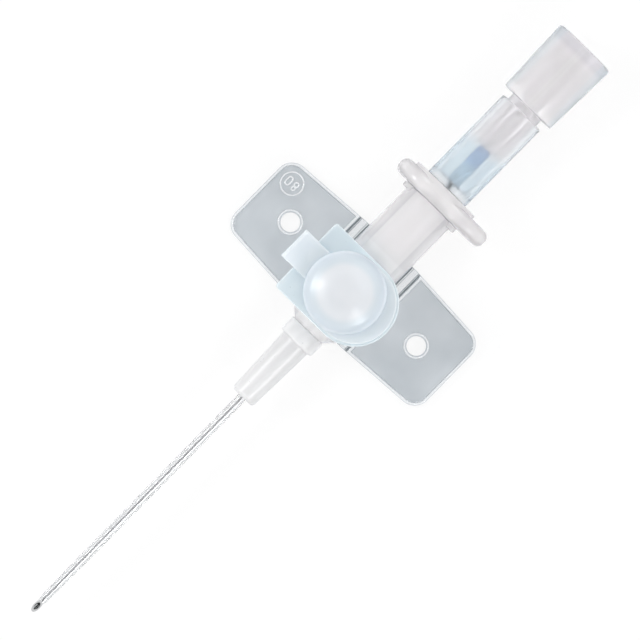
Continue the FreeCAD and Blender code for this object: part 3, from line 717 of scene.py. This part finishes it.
# Port cap
PLATE_HALF = 4.9
PLATE_EDGE = 0.16
PLATE_CORNER = 0.35
SQUARE_END = 6.06
ROUND_END = 6.43
END_INSET = 0.05
TURN_GAP = 0.05
TONGUE_INSET = 0.05
TONGUE_SHORT = 0.1
TONGUE_DROP = 0.25
TONGUE_CORNER = 0.25
BAR_EDGE = 0.08
STRAP_HALF = 1.99
STRAP_THICKNESS = 0.58
STRAP_EDGE = 0.12
STRAP_ROOT = 0.1
HINGE_SIDE = SQUARE_END + 1.29
HINGE_HEIGHT = PLATE_TOP + 0.07
LID_LOW = PLATE_TOP + 0.15
LIP_INSET = 0.3
LIP_HEIGHT = 0.5
LIP_EDGE = 0.12
DOME_SHOULDER = LID_TOP - 1.25
DOME_ROUNDING = 1.7
CROWN_RADIUS = 1.62
CROWN_ROUNDING = 5.8
LID_RADIUS = 4.64
LID_WALL = 0.74
LID_CEILING = LID_TOP - 0.9
CAVITY_SLOPE = 1.1
PLUG_RADIUS = 1.95
PLUG_TAPER = 0.39
PLUG_DEPTH = 0.7


def make_collar():
    round_end = PLATE_HALF - END_INSET
    piece = slab("collar_plate", rounded([
        (-PLATE_HALF, -ROUND_END, round_end), (PLATE_HALF, -ROUND_END, round_end),
        (PLATE_HALF, SQUARE_END, PLATE_CORNER), (-PLATE_HALF, SQUARE_END, PLATE_CORNER)]),
        PLATE_LOW, PLATE_TOP, PLATE_EDGE, flat)
    half = STRAP_HALF - TONGUE_INSET
    tongue_start = SQUARE_END - PLATE_CORNER
    tongue_end = HINGE_SIDE + STRAP_THICKNESS - TONGUE_SHORT
    tongue = slab("tongue", rounded([
        (-half, tongue_start), (half, tongue_start),
        (half, tongue_end, TONGUE_CORNER), (-half, tongue_end, TONGUE_CORNER)]),
        PLATE_LOW, HINGE_HEIGHT - TONGUE_DROP, BAR_EDGE, flat)
    add(piece, tongue)
    wide = PORT_RADIUS + TURN_GAP
    hole = lathe("hole", [(PLATE_LOW - CUT_SPARE, 0), (PLATE_LOW - CUT_SPARE, wide),
                          (PLATE_TOP + CUT_SPARE, wide), (PLATE_TOP + CUT_SPARE, 0)], upright=True)
    cradle = knuckle("cradle", STRAP_THICKNESS + TURN_GAP, PLATE_HALF)
    cut(piece, hole, cradle)
    finish_piece(piece, "port_cap_collar", CAP)


def knuckle(name, radius, half):
    # A bar along the hinge of the strap.
    circle = []
    for step in range(BAR_STEPS):
        angle = math.tau * step / BAR_STEPS
        circle.append((HINGE_SIDE + radius * math.cos(angle), HINGE_HEIGHT + radius * math.sin(angle)))
    return slab(name, circle, -half, half, BAR_EDGE, crosswise)


def make_lid():
    half = PLATE_HALF - LIP_INSET
    lip_end = -ROUND_END + LIP_INSET
    piece = slab("lid_moulding", rounded([
        (-half, lip_end, half - END_INSET), (half, lip_end, half - END_INSET), (half, 0), (-half, 0)]),
        LID_LOW, LID_LOW + LIP_HEIGHT, LIP_EDGE, flat)
    dome = lathe("dome", rounded([
        (LID_LOW, 0), (LID_LOW, LID_RADIUS, 0.1), (DOME_SHOULDER, LID_RADIUS, DOME_ROUNDING),
        (LID_TOP, CROWN_RADIUS, CROWN_ROUNDING), (LID_TOP, 0)]), upright=True, steps=DOME_STEPS)
    inner = LID_RADIUS - LID_WALL
    strap_start = inner + STRAP_ROOT
    strap = slab("strap", rounded([
        (-STRAP_HALF, strap_start), (STRAP_HALF, strap_start),
        (STRAP_HALF, HINGE_SIDE), (-STRAP_HALF, HINGE_SIDE)]),
        HINGE_HEIGHT, HINGE_HEIGHT + STRAP_THICKNESS, STRAP_EDGE, flat)
    add(piece, dome, strap, knuckle("knuckle", STRAP_THICKNESS, STRAP_HALF))
    hollow = lathe("hollow", [
        (PLATE_LOW, 0), (PLATE_LOW, inner), (LID_CEILING - CAVITY_SLOPE, inner),
        (LID_CEILING, inner - CAVITY_SLOPE), (LID_CEILING, PLUG_RADIUS), (PORT_TOP, PLUG_RADIUS),
        (PORT_TOP - PLUG_DEPTH, PLUG_RADIUS - PLUG_TAPER), (PORT_TOP - PLUG_DEPTH, 0)], upright=True)
    cut(piece, hollow)
    finish_piece(piece, "port_cap_lid", LID)


# Wings
ROOT_HALF = 5.99
TIP_HALF = 5.3
ROOT_SIDE = 4.0
WING_CORNER = 1.8
RIM_HEIGHT = 1.0
RIM_WIDTH = 0.35
PANEL_DROP = 0.3
PANEL_TOP = RIM_HEIGHT - PANEL_DROP
SADDLE_HALF = 3.2
SADDLE_HEIGHT = 2.0
SADDLE_GAP = 0.02
RIB_INNER = 3.62
RIB_OUTER = 4.42
RIB_HEIGHT = 1.5
BEND_OUTER = 4.72
BEND_WEB = 0.35
SHADED_BEND_LINES = ((3.24, 3.50), (4.50, 4.68))
PANEL_START = 5.1
SUTURE_SIDE = WING_SPAN / 2 - 5.115
SUTURE_RADIUS = 1.1
SUTURE_RING = 0.36
SUTURE_EDGE = 0.12
SUTURE_SINK = 0.15
HOLE_ROUNDING = 0.15
HOLE_MARGIN = 0.135
RIM_ROUNDING = 0.2
LOWEST_TOP = 0.05
MARK_RADIUS = 1.4
MARK_LINE = 0.2
MARK_RISE = 0.18
MARK_BACK = 3.2
MARK_SIDE = WING_SPAN / 2 - 2.25
MARK_LOW = 0.2
MARK_STEP = 0.01
MARK_EDGE = 0.08
# The mould's number, 08, in a ring: (along, up, radius, longer) for each stroke, which is a ring too
MARK_STROKES = ((0, 0, MARK_RADIUS - MARK_LINE / 2, 0), (0, 0.48, 0.27, 0.26),
                (-0.29, -0.46, 0.22, 0), (0.25, -0.46, 0.26, 0))
SOFT = 0.09
# The lines of the wings' mesh, out from the axis and as shares of the half width: (start, spacing) stops
SIDE_STOPS = ((0, 0.2), (2.6, 0.08), (SADDLE_HALF - 0.1, 0.03), (PANEL_START + 0.1, 0.4),
              (WING_SPAN / 2 - WING_CORNER, 0.08), (WING_SPAN / 2 - 0.5, 0.03), (WING_SPAN / 2, 0))
SHARE_STOPS = ((-1, 0.006), (-0.9, 0.05), (0.9, 0.006), (1, 0))
# The faces that get a darker look: grey panels, and painted shade on the bend lines and the holes' lips
UPWARD = 0.3
PANEL_LEVELS = (0.01, PANEL_TOP + 0.02)
SHADED_BEND_LEVELS = (0.1, RIM_HEIGHT + 0.1)


def ease(distance, width=SOFT):
    # 0 before a step and 1 after it, with rounded shoulders.
    share = min(1, max(0, distance / width + 0.5))
    return share * share * (3 - 2 * share)


def tapered_half(side):
    # Half the wing's width at a distance from the axis, without its round corners.
    share = min(1, max(0, (side - ROOT_SIDE) / (WING_SPAN / 2 - ROOT_SIDE)))
    return ROOT_HALF + (TIP_HALF - ROOT_HALF) * share


def wing_half(side):
    # The same with the round corners.
    half = tapered_half(side)
    left = WING_SPAN / 2 - side
    if left < WING_CORNER:
        half += math.sqrt(WING_CORNER ** 2 - (WING_CORNER - left) ** 2) - WING_CORNER
    return half


def wing_edge_distance(along, side):
    # How far a spot on the wing lies from its nearest edge.
    across = tapered_half(side) - abs(along)
    left = WING_SPAN / 2 - side
    if across < WING_CORNER and left < WING_CORNER:
        return WING_CORNER - math.hypot(WING_CORNER - across, WING_CORNER - left)
    return min(across, left)


def move(piece, spot):
    for vert in piece.data.vertices:
        vert.co.x += spot[0]
        vert.co.y += spot[1]
    return piece


def ring_at(name, low, high, inner, outer, edge, spot, longer=0.0):
    # An upright ring with a rounded top; longer draws it out along the part.
    outline = rounded([(low, inner), (low, outer), (high, outer, edge), (high, inner, edge)])
    ring = lathe(name, outline, upright=True, steps=FINE_STEPS)
    for vert in ring.data.vertices:
        if longer and abs(vert.co.x) > WELD:
            vert.co.x += math.copysign(longer, vert.co.x)
    return move(ring, spot)


def mark_rings():
    rings = []
    for index, (along, up, radius, longer) in enumerate(MARK_STROKES):
        spot = (WING_CENTRE + MARK_BACK + along, MARK_SIDE + up)
        low = MARK_LOW + MARK_STEP * index
        rings.append(ring_at("stroke", low, PANEL_TOP + MARK_RISE, radius - MARK_LINE / 2,
                             radius + MARK_LINE / 2, MARK_EDGE, spot, longer))
    return rings


def wing_height(along, side):
    # The top of the moulding: saddle, step down, rib, bend groove, rim and sunk panel.
    edge = wing_edge_distance(along, side)
    saddle = SADDLE_HEIGHT
    cradle_radius = BARREL_RADIUS + SADDLE_GAP
    if side < cradle_radius:
        saddle = min(saddle, AXIS_HEIGHT - math.sqrt(cradle_radius ** 2 - side ** 2))
    height = saddle + (RIM_HEIGHT - saddle) * ease(side - SADDLE_HALF)
    height += (RIB_HEIGHT - RIM_HEIGHT) * ease(side - RIB_INNER) * ease(RIB_OUTER - side)
    height -= (RIM_HEIGHT - BEND_WEB) * ease(side - RIB_OUTER) * ease(BEND_OUTER - side)
    inside = ease(edge - RIM_WIDTH) * ease(side - PANEL_START)
    height -= PANEL_DROP * inside
    if edge < RIM_ROUNDING:
        height -= RIM_ROUNDING * (1 - math.sqrt(max(0, 1 - (1 - edge / RIM_ROUNDING) ** 2)))
    return max(LOWEST_TOP, height)


def stations(stops):
    # stops are (start, spacing) pairs, the last one being the end.
    places = []
    for (start, spacing), (end, unused) in zip(stops, stops[1:]):
        count = max(1, round((end - start) / spacing))
        places += [start + (end - start) * step / count for step in range(count)]
    return places + [stops[-1][0]]


def wing_moulding():
    # A net over both wings, closed by their sides and the flat underside.
    sides = stations(SIDE_STOPS)
    sides = [-side for side in reversed(sides[1:])] + sides
    shares = stations(SHARE_STOPS)
    verts = []
    for side in sides:
        half = wing_half(abs(side))
        for share in shares:
            along = share * half
            verts.append((WING_CENTRE + along, side, wing_height(along, abs(side))))
    columns = len(shares)
    rows = len(sides)
    faces = []
    for row in range(rows - 1):
        for column in range(columns - 1):
            spot = row * columns + column
            faces.append((spot, spot + 1, spot + columns + 1, spot + columns))
    rim = list(range(columns))
    rim += [row * columns + columns - 1 for row in range(1, rows)]
    rim += [(rows - 1) * columns + column for column in range(columns - 2, -1, -1)]
    rim += [row * columns for row in range(rows - 2, 0, -1)]
    base = len(verts)
    verts += [(verts[index][0], verts[index][1], 0.0) for index in rim]
    for index in range(len(rim)):
        after = (index + 1) % len(rim)
        faces.append((rim[after], rim[index], base + index, base + after))
    faces.append(tuple(range(base, base + len(rim))))
    return new_piece("wing_moulding", verts, faces)


def add_suture_hole(piece, spot):
    eyelet = ring_at("eyelet", SUTURE_SINK, RIM_HEIGHT, SUTURE_RADIUS / 2,
                     SUTURE_RADIUS + SUTURE_RING, SUTURE_EDGE, spot)
    mouth = SUTURE_RADIUS + HOLE_ROUNDING
    hole = lathe("hole", [
        (-CUT_SPARE, 0), (-CUT_SPARE, SUTURE_RADIUS), (RIM_HEIGHT - HOLE_ROUNDING, SUTURE_RADIUS),
        (RIM_HEIGHT - HOLE_ROUNDING / 3, SUTURE_RADIUS + HOLE_ROUNDING / 3),
        (RIM_HEIGHT, mouth), (SADDLE_HEIGHT, mouth), (SADDLE_HEIGHT, 0)], upright=True)
    add(piece, eyelet)
    cut(piece, move(hole, spot))


def within(span, value):
    low, high = span
    return low < value < high


def darken_wings(piece):
    # The panels are greyer than the rim, and the holes' lips and the bend lines are darkened as painted
    # shade.
    for poly in piece.data.polygons:
        if poly.normal.z <= UPWARD:
            continue
        spot = poly.center / MM
        side = abs(spot.y)
        panel = side > PANEL_START and within(PANEL_LEVELS, spot.z)
        bend = any(within(line, side) for line in SHADED_BEND_LINES) and within(SHADED_BEND_LEVELS, spot.z)
        away = math.hypot(spot.x - WING_CENTRE, side - SUTURE_SIDE)
        lip = away < SUTURE_RADIUS + HOLE_MARGIN and spot.z > RIM_HEIGHT - HOLE_ROUNDING
        if bend:
            poly.material_index = 2
        elif panel or lip:
            poly.material_index = 1


def make_wings():
    piece = wing_moulding()
    for side in (1, -1):
        add_suture_hole(piece, (WING_CENTRE, side * SUTURE_SIDE))
    add(piece, *mark_rings())
    finish_piece(piece, "wings", WING_RIM, WING, WING_BEND_SHADE)
    darken_wings(piece)


make_needle()
make_catheter()
make_hub()
make_valve()
make_grip()
make_chamber()
make_stopper()
make_collar()
make_lid()
make_wings()


# Floor, lights and camera, in metres and watts
FLOOR_SIZE = 3.0
FLOOR_DROP = 0.00002
FLOOR_GREY = 0.95
FLOOR_GLOW = 0.85
FLOOR_ROUGHNESS = 0.9
# Each lamp's name, place, side and power
LAMPS = (("key", (-0.17, 0.32, 0.30), 0.16, 1.0),
         ("fill", (-0.12, -0.36, 0.30), 0.14, 0.78),
         ("back", (0.36, -0.03, 0.34), 0.40, 0.9))
# A pale room, lighter towards the horizon than overhead, with the camera's dark patch at the top:
# (height, grey) stops
ROOM = ((0.0, 1.0), (0.70, 0.70), (0.84, 0.12), (1.0, 0.12))


def make_floor():
    # The camera, and gloss and glass, see a mostly white floor, which still takes the shadow.
    bpy.ops.mesh.primitive_plane_add(size=FLOOR_SIZE, location=(0, 0, -FLOOR_DROP))
    floor = bpy.context.object
    floor.name = "floor"
    mat, tree, shader = new_material("floor_white")
    out = tree.nodes["Material Output"]
    shader.inputs["Base Color"].default_value = (FLOOR_GREY, FLOOR_GREY, FLOOR_GREY, 1)
    shader.inputs["Roughness"].default_value = FLOOR_ROUGHNESS
    glow = tree.nodes.new("ShaderNodeEmission")
    path = tree.nodes.new("ShaderNodeLightPath")
    seen = path.outputs["Is Camera Ray"]
    for ray in ("Is Glossy Ray", "Is Transmission Ray"):
        either = tree.nodes.new("ShaderNodeMath")
        either.operation = "MAXIMUM"
        tree.links.new(seen, either.inputs[0])
        tree.links.new(path.outputs[ray], either.inputs[1])
        seen = either.outputs[0]
    share = tree.nodes.new("ShaderNodeMath")
    share.operation = "MULTIPLY"
    share.inputs[1].default_value = FLOOR_GLOW
    tree.links.new(seen, share.inputs[0])
    mix = tree.nodes.new("ShaderNodeMixShader")
    tree.links.new(share.outputs[0], mix.inputs["Fac"])
    tree.links.new(shader.outputs[0], mix.inputs[1])
    tree.links.new(glow.outputs[0], mix.inputs[2])
    tree.links.new(mix.outputs[0], out.inputs["Surface"])
    floor.data.materials.append(mat)


def make_lamp(name, where, size, watts):
    # A square lamp that faces the part.
    light = bpy.data.lights.new(name, "AREA")
    light.shape = "SQUARE"
    light.size = size
    light.energy = watts
    lamp = bpy.data.objects.new(name, light)
    bpy.context.scene.collection.objects.link(lamp)
    lamp.location = where
    lamp.rotation_euler = (-Vector(where)).to_track_quat("-Z", "Y").to_euler()


def make_world():
    world = bpy.data.worlds.new("studio")
    bpy.context.scene.world = world
    world.use_nodes = True
    tree = world.node_tree
    coord = tree.nodes.new("ShaderNodeTexCoord")
    split = tree.nodes.new("ShaderNodeSeparateXYZ")
    tree.links.new(coord.outputs["Generated"], split.inputs["Vector"])
    glow = colour_stops(tree, split.outputs["Z"], [(place, (grey, grey, grey)) for place, grey in ROOM])
    tree.links.new(glow, tree.nodes["Background"].inputs["Color"])
    tree.nodes["Background"].inputs["Strength"].default_value = 1.0


make_floor()
for lamp_values in LAMPS:
    make_lamp(*lamp_values)
make_world()

# The camera looks straight down; the part's axis rises to the right at 45.5 degrees.
PX_PER_MM = 9.0
PICTURE_WIDTH = 640
VIEW_WIDTH = PICTURE_WIDTH / PX_PER_MM * MM
SENSOR = 36.0
DISTANCE = 1.20
AIM = (-4.09, -0.16)
TURN = -45.5
camera_data = bpy.data.cameras.new("camera")
camera_data.sensor_width = SENSOR
camera_data.lens = SENSOR * DISTANCE / VIEW_WIDTH
camera_data.clip_start = 0.01
camera_data.clip_end = 10
camera = bpy.data.objects.new("camera", camera_data)
bpy.context.scene.collection.objects.link(camera)
camera.location = (AIM[0] * MM, AIM[1] * MM, DISTANCE + AXIS_HEIGHT * MM)
camera.rotation_euler = (0, 0, math.radians(TURN))
bpy.context.scene.camera = camera

# Light has to pass many thin clear walls.
scene = bpy.context.scene
scene.view_settings.view_transform = "Standard"
scene.cycles.transparent_max_bounces = 24
scene.cycles.max_bounces = 24
scene.cycles.transmission_bounces = 20
scene.cycles.glossy_bounces = 8
